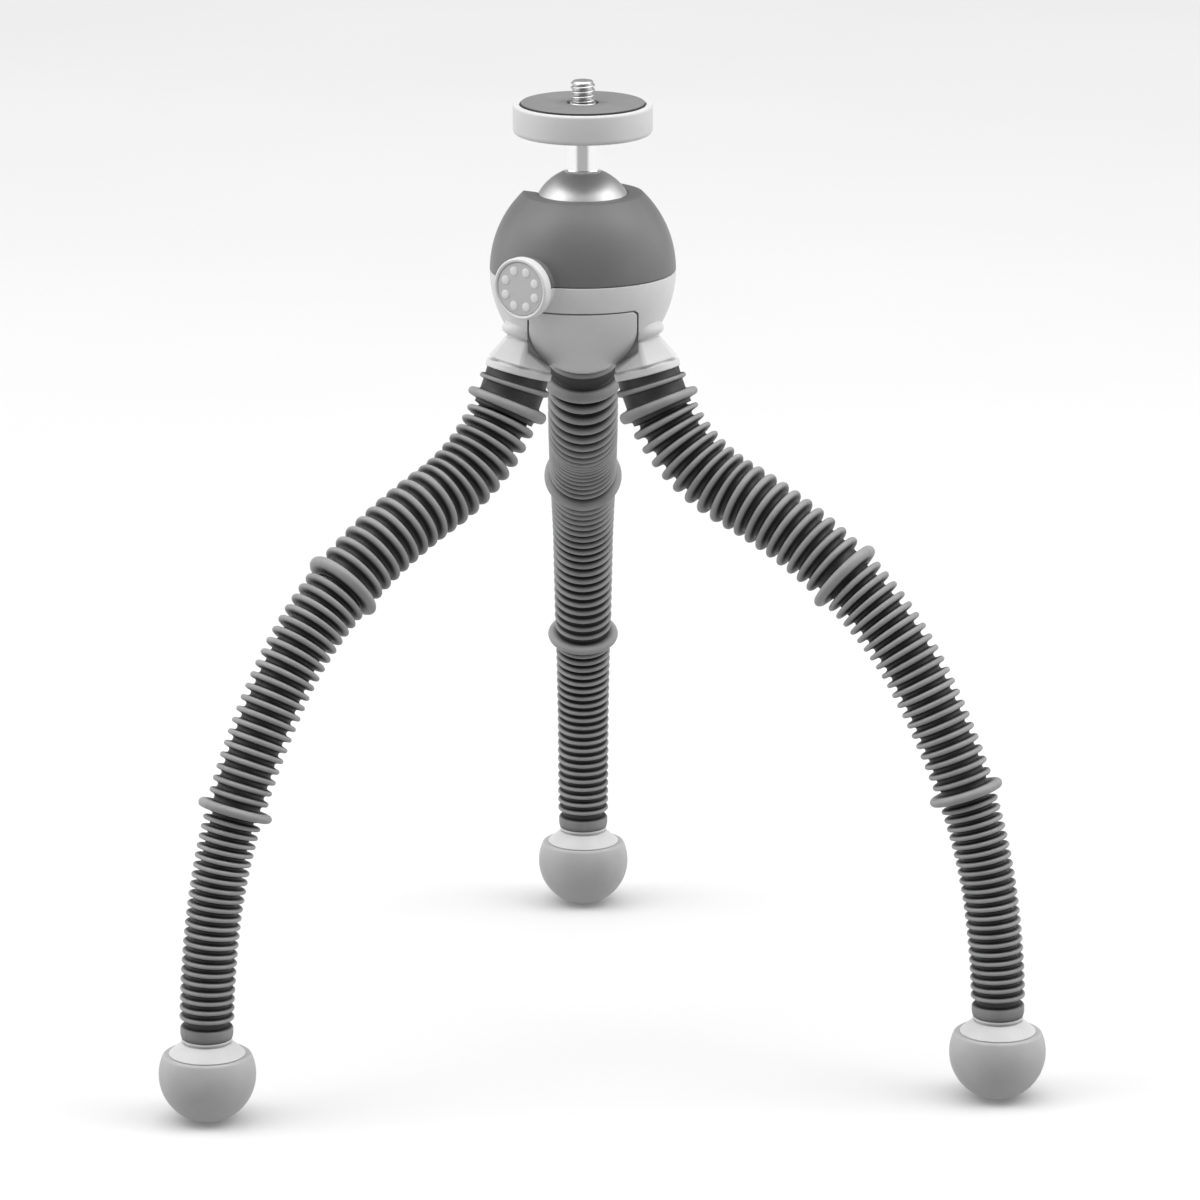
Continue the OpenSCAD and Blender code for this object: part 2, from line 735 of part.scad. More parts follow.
module head_stem() {
    foot = stem_foot_r - stem_r;
    color(steel) on_ball() rotate_extrude() difference() {
        union() {
            translate([0, stem_flat - shank_len]) square([shank_r, stem_top - stem_flat + shank_len]);
            translate([0, stem_flat + fit]) square([stem_r, stem_top - stem_flat - fit]);
            translate([0, stem_flat + fit]) square([stem_foot_r, stem_foot_h]);
        }
        translate([stem_foot_r, stem_flat + fit + stem_foot_h]) circle(foot);
    }
}

module camera_screw() {
    base = stem_top + fit;
    top = disc_rise + disc_h + pad_proud + screw_len;
    color(steel) on_ball() {
        translate([0, 0, base]) cylinder(h = flange_t, r = flange_r);
        translate([0, 0, base]) cylinder(h = top - screw_tip - base, r = screw_r);
        translate([0, 0, top - screw_tip]) cylinder(h = screw_tip, r1 = screw_r, r2 = screw_r - screw_tip);
    }
}

module platform_disc() {
    seat = disc_h + pad_proud - pad_t - fit;
    color(light) translate([0, 0, disc_z]) rotate_extrude() difference() {
        union() {
            square([disc_r - disc_round, disc_h]);
            translate([0, disc_ease]) square([disc_r, disc_h - disc_ease - disc_round]);
            translate([disc_r - disc_round, disc_h - disc_round]) circle(disc_round);
            translate([disc_r - disc_ease, disc_ease]) circle(disc_ease);
            square([disc_r - disc_ease, disc_h / 2]);
        }
        translate([-far, -far / 2]) square([far, far]);
        translate([0, -1]) square([stem_r + spin_fit, far]);
        translate([0, stem_top - disc_rise - fit]) square([flange_r + spin_fit * 2, far]);
        translate([0, seat]) square([pad_r + pad_gap, far]);
    }
}

module platform_pad() {
    color(rubber) translate([0, 0, pad_z - pad_t]) rotate_extrude() translate([pad_hole_r, 0])
        square([pad_r - pad_hole_r, pad_t]);
}

// Lock knob and clamp

module lock_knob() {
    color(light) on_knob() translate([knob_in, 0, 0]) rotate([0, 90, 0]) rotate_extrude() difference() {
        union() {
            square([knob_r - knob_round, knob_t]);
            translate([0, knob_round]) square([knob_r, knob_t - knob_round * 2]);
            translate([knob_r - knob_round, knob_t - knob_round]) circle(knob_round);
            translate([knob_r - knob_round, knob_round]) circle(knob_round);
        }
        translate([0, knob_t - knob_recess]) square([knob_r - knob_rim, far]);
        translate([-far, -far / 2]) square([far, far]);
        translate([0, -knob_web]) square([clamp_r + fit, knob_t - knob_recess]);
    }
}

module knob_cap() {
    color(light) on_knob() translate([knob_in + knob_t - knob_recess + fit, 0, 0]) rotate([0, 90, 0]) {
        cylinder(h = cap_t, r = knob_r - knob_rim - fit);
        for (i = [0 : dot_count - 1]) rotate([0, 0, (i + 0.5) * 360 / dot_count])
            translate([dot_ring, 0, cap_t / 2])
            cylinder(h = cap_t / 2 + dot_h, r = dot_r);
    }
}

module clamp_screw() {
    end = knob_in + knob_t - knob_recess - knob_web - fit;
    color(steel) on_knob() rotate([0, 90, 0]) {
        translate([0, 0, clamp_in]) cylinder(h = end - clamp_in, r = clamp_r);
        translate([0, 0, chassis_r + clamp_fit]) cylinder(h = collar_t, r = collar_r);
    }
}

module brake_shoe() {
    color(brass) difference() {
        on_hub() rotate([0, 0, knob_az]) translate([shoe_in, -shoe_w / 2, fit - well_drop])
            cube([shoe_out - shoe_in, shoe_w, shoe_rise + well_drop - fit]);
        on_ball() sphere(ball_r + shoe_gap, $fn = 96);
        on_knob() rotate([0, 90, 0]) translate([0, 0, clamp_in - shoe_slack])
            cylinder(h = far, r = clamp_r + clamp_fit);
    }
}

// Legs

module leg_anchors() {
    tip = balls[1] * rod_part;
    color(steel) for (leg = [rear, left, right]) on_socket(leg) {
        translate([0, 0, seat_d + fit]) cylinder(h = stud_flange_t, r = stud_flange_r);
        cylinder(h = stud_len, r = stud_r);
        along(0, -1, root_len) circle(tip);
        along(0, stud_out, stud_out + web_len) circle(bore_a - fit);
        at(0, root_len) sphere(balls[1]);
    }
}

module leg_root_sleeves() {
    hole = (root_r + bore_a) / 2;
    color(rubber) for (leg = [rear, left, right]) on_socket(leg) {
        along(0, fit, root_len - root_gap / 2) ring_2d(root_r, bore_a);
        translate([0, 0, -root_rib_at / 2]) rotate_extrude() translate([stud_r + fit, 0])
            square([seat_r - fit * 2 - stud_r, seat_d - fit + root_rib_at / 2]);
        at(0, root_rib_at) rib(root_rib_r, root_rib_t, hole);
        at(0, ring_1_at) rib(ring_1_r, ring_1_t, hole);
    }
}

module sleeve(k) {
    hole = (valleys[k] + bores[k]) / 2;
    lead = (k == 1 ? root_gap : sleeve_gap) / 2;
    along(k, lead, lens[k] - sleeve_gap / 2) ring_2d(valleys[k], bores[k]);
    for (i = [0 : ribs[k] - 1]) at(k, leads[k] + i * pitches[k])
        rib(rib_from[k] + (rib_to[k] - rib_from[k]) * i / (ribs[k] - 1), pitches[k] * rib_part, hole);
    if (k == 2) at(k, lens[k] - ring_2_tail) rib(ring_2_r, ring_2_t, hole);
    if (k == 4) at(k, lens[k] - ring_3_tail) rib(ring_3_r, ring_3_t, hole);
    if (k == 6) along(k, lens[k] - end_len, lens[k] - sleeve_gap / 2) ring_2d(end_r, hole);
}

module core(k) {
    ball = balls[k];
    cup = ball + cup_fit + cup_wall;
    rod = ball * rod_part;
    web = bores[k] - fit;
    middle = lens[k] / 2;
    difference() {
        union() {
            sphere(cup);
            along(k, ball + cup_fit, lens[k] - (k == 6 ? end_len / 2 : 0)) circle(rod);
        }
        sphere(ball + cup_fit);
        translate([0, 0, ball * cup_hold]) cylinder(h = cup, r = cup * 2);
    }
    along(k, middle - web_len / 2, middle + web_len / 2) circle(web);
    if (k < 6) at(k, lens[k]) sphere(balls[k + 1]);
    if (k == 6) along(k, lens[k] - end_len, lens[k]) circle(web);
    if (k == 6) at(k, lens[k]) translate([0, 0, -foot_stud_len])
        cylinder(h = foot_stud_len + 1, r = foot_stud_r);
}

module foot_collar() {
    at(6, lens[6]) rotate_extrude() difference() {
        polygon([
            [0, -fit], [collar_lip_r, -fit], [collar_lip_r, -collar_lip_h],
            [collar_neck_r, -collar_lip_h - 0.1], [collar_edge_r, -collar_edge_d],
            [spigot_r, -collar_edge_d], [spigot_r, -spigot_d], [0, -spigot_d],
        ]);
        translate([0, -foot_stud_len - fit]) square([foot_stud_r + fit, far]);
    }
}

module foot() {
    middle = foot_r - foot_flat - foot_h;
    top = -collar_edge_d - fit;
    edge = sqrt(pow(foot_r - foot_round, 2) - pow(top - foot_round - middle, 2));
    at(6, lens[6]) rotate_extrude() difference() {
        union() {
            intersection() {
                translate([0, middle]) circle(foot_r, $fn = 96);
                translate([0, -foot_h]) square([far, foot_h + top - foot_round]);
            }
            translate([0, top - foot_round - eps]) square([edge, foot_round + eps]);
            translate([edge, top - foot_round]) circle(foot_round);
        }
        translate([0, -spigot_d - fit]) square([spigot_r + fit, far]);
    }
}

module left_sleeve_1() { color(rubber) on_link(left, 1) sleeve(1); }
module left_sleeve_2() { color(rubber) on_link(left, 2) sleeve(2); }
module left_sleeve_3() { color(rubber) on_link(left, 3) sleeve(3); }
module left_sleeve_4() { color(rubber) on_link(left, 4) sleeve(4); }
module left_sleeve_5() { color(rubber) on_link(left, 5) sleeve(5); }
module left_sleeve_6() { color(rubber) on_link(left, 6) sleeve(6); }
module left_core_1() { color(dark) on_link(left, 1) core(1); }
module left_core_2() { color(dark) on_link(left, 2) core(2); }
module left_core_3() { color(dark) on_link(left, 3) core(3); }
module left_core_4() { color(dark) on_link(left, 4) core(4); }
module left_core_5() { color(dark) on_link(left, 5) core(5); }
module left_core_6() { color(dark) on_link(left, 6) core(6); }
module left_foot_collar() { color(light) on_link(left, 6) foot_collar(); }
module left_foot() { color(mid) on_link(left, 6) foot(); }

module right_sleeve_1() { color(rubber) on_link(right, 1) sleeve(1); }
module right_sleeve_2() { color(rubber) on_link(right, 2) sleeve(2); }
module right_sleeve_3() { color(rubber) on_link(right, 3) sleeve(3); }
module right_sleeve_4() { color(rubber) on_link(right, 4) sleeve(4); }
module right_sleeve_5() { color(rubber) on_link(right, 5) sleeve(5); }
module right_sleeve_6() { color(rubber) on_link(right, 6) sleeve(6); }
module right_core_1() { color(dark) on_link(right, 1) core(1); }
module right_core_2() { color(dark) on_link(right, 2) core(2); }
module right_core_3() { color(dark) on_link(right, 3) core(3); }
module right_core_4() { color(dark) on_link(right, 4) core(4); }
module right_core_5() { color(dark) on_link(right, 5) core(5); }
module right_core_6() { color(dark) on_link(right, 6) core(6); }
module right_foot_collar() { color(light) on_link(right, 6) foot_collar(); }
module right_foot() { color(mid) on_link(right, 6) foot(); }

module rear_sleeve_1() { color(rubber) on_link(rear, 1) sleeve(1); }
module rear_sleeve_2() { color(rubber) on_link(rear, 2) sleeve(2); }
module rear_sleeve_3() { color(rubber) on_link(rear, 3) sleeve(3); }
module rear_sleeve_4() { color(rubber) on_link(rear, 4) sleeve(4); }
module rear_sleeve_5() { color(rubber) on_link(rear, 5) sleeve(5); }
module rear_sleeve_6() { color(rubber) on_link(rear, 6) sleeve(6); }
module rear_core_1() { color(dark) on_link(rear, 1) core(1); }
module rear_core_2() { color(dark) on_link(rear, 2) core(2); }
module rear_core_3() { color(dark) on_link(rear, 3) core(3); }
module rear_core_4() { color(dark) on_link(rear, 4) core(4); }
module rear_core_5() { color(dark) on_link(rear, 5) core(5); }
module rear_core_6() { color(dark) on_link(rear, 6) core(6); }
module rear_foot_collar() { color(light) on_link(rear, 6) foot_collar(); }
module rear_foot() { color(mid) on_link(rear, 6) foot(); }

upper_shell();
lower_shell();
hub_panels();
hub_screws();
chassis();
ball_race();
head_ball();
head_stem();
camera_screw();
platform_disc();
platform_pad();
lock_knob();
knob_cap();
clamp_screw();
brake_shoe();
leg_anchors();
leg_root_sleeves();
left_sleeve_1();
left_sleeve_2();
left_sleeve_3();
left_sleeve_4();
left_sleeve_5();
left_sleeve_6();
left_core_1();
left_core_2();
left_core_3();
left_core_4();
left_core_5();
left_core_6();
left_foot_collar();
left_foot();
right_sleeve_1();
right_sleeve_2();
right_sleeve_3();
right_sleeve_4();
right_sleeve_5();
right_sleeve_6();
right_core_1();
right_core_2();
right_core_3();
right_core_4();
right_core_5();
right_core_6();
right_foot_collar();
right_foot();
rear_sleeve_1();
rear_sleeve_2();
rear_sleeve_3();
rear_sleeve_4();
rear_sleeve_5();
rear_sleeve_6();
rear_core_1();
rear_core_2();
rear_core_3();
rear_core_4();
rear_core_5();
rear_core_6();
rear_foot_collar();
rear_foot();
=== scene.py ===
import math

import bmesh
import bpy
import numpy as np
from mathutils import Matrix, Vector


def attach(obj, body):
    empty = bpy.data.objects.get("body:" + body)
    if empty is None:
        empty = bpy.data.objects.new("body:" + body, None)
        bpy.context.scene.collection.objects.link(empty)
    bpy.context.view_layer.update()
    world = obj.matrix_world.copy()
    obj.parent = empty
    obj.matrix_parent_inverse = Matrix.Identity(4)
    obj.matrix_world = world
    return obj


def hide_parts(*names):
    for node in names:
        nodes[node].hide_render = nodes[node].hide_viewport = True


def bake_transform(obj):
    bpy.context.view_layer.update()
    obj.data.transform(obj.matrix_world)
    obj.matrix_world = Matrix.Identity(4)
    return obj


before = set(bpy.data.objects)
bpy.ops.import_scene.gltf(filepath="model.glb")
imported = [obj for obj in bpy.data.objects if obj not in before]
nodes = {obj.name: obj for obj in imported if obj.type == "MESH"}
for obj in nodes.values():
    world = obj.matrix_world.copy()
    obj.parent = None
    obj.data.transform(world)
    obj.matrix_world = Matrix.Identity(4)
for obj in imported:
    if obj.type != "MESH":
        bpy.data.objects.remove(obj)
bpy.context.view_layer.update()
scene = bpy.context.scene

# Sizes are in millimetres and degrees, and Blender's unit is the metre
MM = 0.001

# Clearance between pieces that fit together
FIT = 0.05

# Legs: azimuth of the socket, and how far the leg below it swings to the side
LEGS = {"left": (210.0, 7.5), "right": (330.0, 5.0), "rear": (90.0, 0.0)}
SOCKET_TILT = 17.0
SOCKET_REACH = 19.6
SOCKET_DROP = 25.6

# Links of a leg: link 0 is the root, which the hub holds, and links 1 to 6 hang on hinges. Each has its
# length, its bend, the radius in its grooves, its bore and the gap at its ends
LINKS = 6
LENS = (11.3, 29.45, 37.61, 30.685, 34.085, 27.27, 32.36)
BENDS = (12.0, 37.5, -17.0, -19.5, -10.5, -10.5, -9.0)
VALLEYS = (8.2, 6.8, 6.8, 6.2, 6.2, 5.5, 5.5)
BORES = (4.5, 4.5, 4.5, 4.2, 4.2, 3.9, 3.9)
JOINT_FIT = 0.05

# Ribs of each link: place of the first, count, pitch, and outer radius of the first and the last
LEADS = (0.0, 2.0, 1.83, 1.9, 1.515, 1.65, 1.22)
RIBS = (0, 8, 9, 10, 10, 11, 11)
PITCHES = (0.0, 3.66, 3.66, 3.03, 3.03, 2.44, 2.44)
RIB_FROM = (0.0, 9.4, 9.3, 9.0, 8.3, 7.6, 7.225)
RIB_TO = (0.0, 9.3, 9.2, 8.3, 7.9, 7.225, 7.1)

# Shares of a rib: its thickness in the pitch, its root fillet in the groove, the fillet's middle point
# in the fillet, and its rim in half the thickness and in the height
RIB_PART = 0.52
ROOT_PART = 0.42
ROOT_OUT = 0.32
ROOT_UP = 0.25
TIP_PART = 0.88
SOFT_PART = 0.42

# Thick rings by link: place, outer radius and thickness, all with the same root fillet
RINGS = {0: ((3.1, 9.4, 1.6), (8.7, 10.9, 3.0)), 2: ((35.71, 10.6, 3.0),), 4: ((32.435, 9.8, 2.6),)}
RING_ROOT = 0.34

# Plain end of the last link, with its edges as (along the leg, below the radius) from either end
END_LEN = 4.3
END_R = 6.85
END_CUT = 0.98
END_DIP = 0.25
END_START = ((-0.02, 0.7), (0.1, 0.25), (0.5, 0.0))
END_STOP = ((1.3, 0.0), (0.5, 0.16), (0.15, 0.34), (0.02, 0.7))
END_FACE = 0.9

# Foot and its collar, with heights from the end of the leg
FOOT_H = 21.0
FOOT_R = 12.6
FOOT_FLAT = 0.5
FOOT_TOP = -3.4
FOOT_LIP = 1.0
FOOT_LIP_IN = 0.45
COLLAR_FIT = 0.03
COLLAR_THROAT_R = 4.0
COLLAR_NECK_R = 6.6
COLLAR_NECK = 0.4
COLLAR_GROOVE_R = 5.9
COLLAR_GROOVE_TOP = 0.32
COLLAR_GROOVE_LOW = -0.12
COLLAR_CONE_R = 6.55
COLLAR_CONE = -0.2
COLLAR_EDGE_R = 10.1
COLLAR_EDGE = -3.35
COLLAR_PLUG_R = 8.0
COLLAR_END = -9.0
COLLAR_BORE_R = 2.7
COLLAR_BORE_END = -7.55

# Hub shells: radius at the seam, and of the arcs that their profiles follow above and below it
HUB_R = 24.3
UPPER_ARC = 28.2
LOWER_ARC = 28.35

# Ball, and the stem with its pin in the ball
BALL_R = 13.4
BALL_RISE = 13.5
PIN_R = 3.0
PIN_LEN = 9.0
STEM_R = 4.1
STEM_FOOT_R = 5.0
STEM_FOOT_H = 0.8
STEM_FILLET = 0.75

# Platform, with the pad in its recess and a black ring round the pad that is painted shade in the gap
DISC_RISE = 22.5
DISC_R = 18.2
DISC_H = 7.9
DISC_EDGE = 0.2
PAD_R = 16.1
PAD_GAP = 0.35
PAD_T = 1.2
PAD_PROUD = 0.3
PAD_HOLE = 4.1
# Black ring in the gap round the pad: painted shade, where the gap is only in shadow
SHADE_RING_IN = 0.6
SHADE_RING_LOW = 0.32
SHADE_RING_HIGH = 0.1
SHADE_RING_FIT = 0.03

# Camera screw, with the edge of its shoulder as (inward, below the thread)
SCREW_R = 3.175
SCREW_ROOT = 2.5
SCREW_PITCH = 1.27
SCREW_LEN = 5.7
SCREW_TIP_R = 1.9
SCREW_CHAMFER = 0.75
SCREW_SLOPE = 1.1
THREAD_FROM = 2.3
THREAD_FADE = 0.5
THREAD_STEP = 0.055
THREAD_CREST = 0.8
SHOULDER_R = 3.5
SHOULDER_EDGE = ((0.0, 0.35), (0.12, 0.12), (0.4, 0.04))
FLANGE_R = 5.0
FLANGE_T = 1.0
FLANGE_EDGE = 0.1

# Lock knob, its cap and the dots on it
KNOB_AZ = 236.0
KNOB_RISE = -0.2
KNOB_IN = 26.3
KNOB_R = 8.15
KNOB_T = 3.0
KNOB_RIM = 1.1
KNOB_RECESS = 1.2
KNOB_WEB = 1.0
KNOB_BORE_R = 2.45
CAP_T = 0.8
DOTS = 8
DOT_R = 1.2
DOT_RING = 4.9
DOT_H = 0.25
DOT_WALL = 0.04
DOT_ROOT = 0.2

# Course of a leg, from its socket
TILTS, REACH, DROP = [SOCKET_TILT], [0.0], [0.0]
for length, bend in zip(LENS, BENDS):
    turn = math.radians(bend)
    chord = 2 * length / turn * math.sin(turn / 2)
    slope = math.radians(TILTS[-1] + bend / 2)
    TILTS.append(TILTS[-1] + bend)
    REACH.append(REACH[-1] + chord * math.sin(slope))
    DROP.append(DROP[-1] + chord * math.cos(slope))

# Heights above the floor: seam of the hub, middle of the ball and underside of the platform
SEAM = FOOT_H + DROP[-1] + SOCKET_DROP
BALL = SEAM + BALL_RISE
DISC = BALL + DISC_RISE

# Heights in the head: floor of the pad's recess above the platform's underside, then above the ball's
# middle the flat that the stem stands on and the stem's top
SEAT = DISC_H + PAD_PROUD - PAD_T - FIT
BALL_FLAT = math.sqrt(BALL_R ** 2 - STEM_FOOT_R ** 2)
STEM_TOP = DISC_RISE + SEAT - FLANGE_T - FIT


def spin(degrees, axis):
    return Matrix.Rotation(math.radians(degrees), 4, axis)


def shift(x, y, z):
    return Matrix.Translation((x, y, z))


def station(leg, k, s):
    """Frame on the axis of link k, s from its start: -Z down the leg, +X outward."""
    az, swing = LEGS[leg]
    turn = BENDS[k] * s / LENS[k]
    curve = LENS[k] / math.radians(BENDS[k])
    bent = math.radians(turn)
    place = spin(az, "Z") @ shift(SOCKET_REACH + REACH[1], 0, 0) @ spin(swing if k else 0, "Z")
    place = place @ shift(REACH[k] - REACH[1], 0, SEAM - SOCKET_DROP - DROP[k]) @ spin(-TILTS[k], "Y")
    return place @ shift(curve * (1 - math.cos(bent)), 0, -curve * math.sin(bent)) @ spin(-turn, "Y")


HEAD = shift(0, 0, BALL)
DECK = shift(0, 0, DISC)
KNOB = shift(0, 0, SEAM + KNOB_RISE) @ spin(KNOB_AZ, "Z") @ shift(KNOB_IN, 0, 0) @ spin(90, "Y")

# Mesh helpers

# Steps of a corner's arc, and the most of a side that it may take
ARC_STEPS = 6
ARC_SHARE = 0.49

TINY = 1e-6


def add_mesh(name, verts, faces, sharp):
    """A shaded object from points in millimetres, with edges over the angle sharp left sharp."""
    mesh = bpy.data.meshes.new(name)
    mesh.from_pydata([tuple(c * MM for c in v) for v in verts], [], faces)
    mesh.validate()
    mesh.polygons.foreach_set("use_smooth", [True] * len(mesh.polygons))
    mesh.set_sharp_from_angle(angle=math.radians(sharp))
    obj = bpy.data.objects.new(name, mesh)
    scene.collection.objects.link(obj)
    return obj


def merge_points(mesh, distance):
    work = bmesh.new()
    work.from_mesh(mesh)
    bmesh.ops.remove_doubles(work, verts=work.verts, dist=distance)
    work.to_mesh(mesh)
    work.free()


def face_out(obj):
    work = bmesh.new()
    work.from_mesh(obj.data)
    bmesh.ops.recalc_face_normals(work, faces=work.faces)
    work.to_mesh(obj.data)
    work.free()


def rounded(path):
    """A closed path of (x, y, radius) with each corner turned into an arc of that radius."""
    out = []
    count = len(path)
    for i, (x, y, radius) in enumerate(path):
        here = Vector((x, y))
        if not radius:
            out.append((x, y))
            continue
        to_last = Vector(path[i - 1][:2]) - here
        to_next = Vector(path[(i + 1) % count][:2]) - here
        half = to_last.angle(to_next) / 2
        reach = min(radius / math.tan(half), to_last.length * ARC_SHARE, to_next.length * ARC_SHARE)
        middle = here + (to_last.normalized() + to_next.normalized()).normalized() * (reach / math.cos(half))
        first = here + to_last.normalized() * reach - middle
        last = here + to_next.normalized() * reach - middle
        sweep = first.angle_signed(last)
        for n in range(ARC_STEPS + 1):
            a = -sweep * n / ARC_STEPS
            c, s = math.cos(a), math.sin(a)
            out.append((middle.x + first.x * c - first.y * s, middle.y + first.x * s + first.y * c))
    return out


def lathe(name, path, place, segments):
    """A closed path of (radius, height, corner radius) turned about the Z axis of place."""
    verts, rings, faces = [], [], []
    for r, z in rounded(path):
        if r < TINY:
            rings.append([len(verts)] * segments)
            verts.append(place @ Vector((0, 0, z)))
            continue
        rings.append(list(range(len(verts), len(verts) + segments)))
        for n in range(segments):
            a = 2 * math.pi * n / segments
            verts.append(place @ Vector((r * math.cos(a), r * math.sin(a), z)))
    for i, ring in enumerate(rings):
        after = rings[(i + 1) % len(rings)]
        for n in range(segments):
            m = (n + 1) % segments
            corner = []
            for v in (ring[n], ring[m], after[m], after[n]):
                if v not in corner:
                    corner.append(v)
            if len(corner) > 2:
                faces.append(corner)
    obj = add_mesh(name, verts, faces, sharp=40)
    face_out(obj)
    return obj


def dress(obj, body, slot, material, *stands_for):
    """Material and body of a finished piece, and the nodes that it stands for; the slot is not used."""
    obj.data.materials.clear()
    obj.data.materials.append(material)
    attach(obj, body)
    if stands_for:
        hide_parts(*stands_for)


# Shader helpers


def graph(name):
    material = bpy.data.materials.new(name)
    material.use_nodes = True
    tree = material.node_tree
    return material, tree, tree.nodes["Principled BSDF"]


def object_coords(tree):
    return tree.nodes.new("ShaderNodeTexCoord").outputs["Object"]


def noise(tree, coords, scale, detail=3.0, rough=0.55):
    node = tree.nodes.new("ShaderNodeTexNoise")
    node.inputs["Scale"].default_value = scale
    node.inputs["Detail"].default_value = detail
    node.inputs["Roughness"].default_value = rough
    tree.links.new(coords, node.inputs["Vector"])
    return node.outputs["Fac"]


def ramp(tree, value, low, high, start=0.3, end=0.7):
    """A value that goes from low to high as the input goes from start to end."""
    node = tree.nodes.new("ShaderNodeMapRange")
    node.inputs["From Min"].default_value = start
    node.inputs["From Max"].default_value = end
    node.inputs["To Min"].default_value = low
    node.inputs["To Max"].default_value = high
    tree.links.new(value, node.inputs["Value"])
    return node.outputs["Result"]


def reckon(tree, operation, *values):
    node = tree.nodes.new("ShaderNodeMath")
    node.operation = operation
    for socket, value in zip(node.inputs, values):
        tree.links.new(value, socket)
    return node.outputs["Value"]


def blend_colour(tree, value, low, high):
    node = tree.nodes.new("ShaderNodeMix")
    node.data_type = "RGBA"
    node.inputs[6].default_value = (*low, 1)
    node.inputs[7].default_value = (*high, 1)
    tree.links.new(value, node.inputs[0])
    return node.outputs[2]


def bump(tree, shader, height, strength, depth):
    """Relief in the surface, depth in millimetres."""
    node = tree.nodes.new("ShaderNodeBump")
    node.inputs["Strength"].default_value = strength
    node.inputs["Distance"].default_value = depth * MM
    tree.links.new(height, node.inputs["Height"])
    tree.links.new(node.outputs["Normal"], shader.inputs["Normal"])


def grey(value):
    return (value, value, value)


# Materials


def moulded(name, colour, spread, rough, grain, depth, specular=0.5, metallic=0.0, sheen=0.0):
    """Moulded or machined surface: cloudy colour, varied gloss and a fine grain in the bump."""
    material, tree, shader = graph(name)
    coords = object_coords(tree)
    cloud = ramp(tree, noise(tree, coords, scale=90.0), 0, 1)
    fine = noise(tree, coords, grain, detail=2.0, rough=0.6)
    low = tuple(c * (1 - spread) for c in colour)
    high = tuple(min(1, c * (1 + spread)) for c in colour)
    tree.links.new(blend_colour(tree, cloud, low, high), shader.inputs["Base Color"])
    tree.links.new(ramp(tree, fine, rough - 0.05, rough + 0.05), shader.inputs["Roughness"])
    bump(tree, shader, fine, strength=0.35, depth=depth)
    shader.inputs["Specular IOR Level"].default_value = specular
    shader.inputs["Metallic"].default_value = metallic
    if sheen:
        shader.inputs["Sheen Weight"].default_value = sheen
        shader.inputs["Sheen Roughness"].default_value = 0.6
    return material


def turned(name, colour, rough, marks, depth):
    """Metal with fine turning marks round the Z axis and slightly uneven gloss."""
    material, tree, shader = graph(name)
    coords = object_coords(tree)
    stretch = tree.nodes.new("ShaderNodeMapping")
    stretch.inputs["Scale"].default_value = (0.02, 0.02, 1.0)
    tree.links.new(coords, stretch.inputs["Vector"])
    lines = noise(tree, stretch.outputs["Vector"], marks, detail=2.0, rough=0.7)
    cloud = noise(tree, coords, scale=160.0)
    low = tuple(c * 0.96 for c in colour)
    tree.links.new(blend_colour(tree, ramp(tree, cloud, 0, 1), low, colour), shader.inputs["Base Color"])
    tree.links.new(ramp(tree, cloud, rough * 0.85, rough * 1.2), shader.inputs["Roughness"])
    bump(tree, shader, lines, strength=0.25, depth=depth)
    shader.inputs["Metallic"].default_value = 1.0
    return material


def ribbed(name, groove, rim):
    """Sleeve rubber, with light and shade painted in by the height of the ribs: painted shade, dark in the
    grooves, and a painted highlight, a lighter grey on the rims.
    """
    material, tree, shader = graph(name)
    coords = object_coords(tree)
    height = tree.nodes.new("ShaderNodeAttribute")
    height.attribute_name = "crest"
    fine = noise(tree, coords, scale=1500.0, detail=2.0, rough=0.6)
    cloud = noise(tree, coords, scale=110.0)
    # Painted shade in the grooves and painted highlight on the rims, by the rib's height, a little uneven at
    # random
    uneven = reckon(tree, "MULTIPLY", height.outputs["Fac"], ramp(tree, cloud, 0.85, 1.0))
    painted_light = ramp(tree, uneven, 0, 1, start=0.45, end=0.95)
    tree.links.new(blend_colour(tree, painted_light, grey(groove), grey(rim)), shader.inputs["Base Color"])
    tree.links.new(ramp(tree, fine, 0.46, 0.58), shader.inputs["Roughness"])
    bump(tree, shader, fine, strength=0.35, depth=0.1)
    shader.inputs["Specular IOR Level"].default_value = 0.45
    return material


def paper(name):
    """Pale paper of the floor."""
    material, tree, shader = graph(name)
    cloud = ramp(tree, noise(tree, object_coords(tree), scale=3.0), 0, 1)
    tree.links.new(blend_colour(tree, cloud, grey(0.72), grey(0.74)), shader.inputs["Base Color"])
    shader.inputs["Roughness"].default_value = 0.9
    shader.inputs["Specular IOR Level"].default_value = 0.1
    return material


def glowing(name, level):
    """A card that shines evenly."""
    material, _, shader = graph(name)
    shader.inputs["Base Color"].default_value = (0, 0, 0, 1)
    shader.inputs["Emission Color"].default_value = (*grey(level), 1)
    shader.inputs["Emission Strength"].default_value = 1.0
    return material


# Light plastics of the hub, platform, knob and collars
LIGHT_SHELL = moulded("light_shell", grey(0.66), spread=0.04, rough=0.46, grain=2600, depth=0.04)
LIGHT_PANEL = moulded("light_panel", grey(0.66), spread=0.03, rough=0.44, grain=2600, depth=0.04)
DISC_LIGHT = moulded("disc_light", grey(0.63), spread=0.03, rough=0.45, grain=2600, depth=0.04)
KNOB_LIGHT = moulded("knob_light", grey(0.70), spread=0.03, rough=0.40, grain=2400, depth=0.04)
KNOB_FACE = moulded("knob_face", grey(0.52), spread=0.03, rough=0.5, grain=2400, depth=0.05)
KNOB_DOT = moulded("knob_dot", grey(0.74), spread=0.03, rough=0.36, grain=2400, depth=0.03)
COLLAR_LIGHT = moulded("collar_light", grey(0.60), spread=0.03, rough=0.42, grain=2400, depth=0.03)
RACE_WHITE = moulded("race_white", grey(0.55), spread=0.04, rough=0.4, grain=2000, depth=0.03)

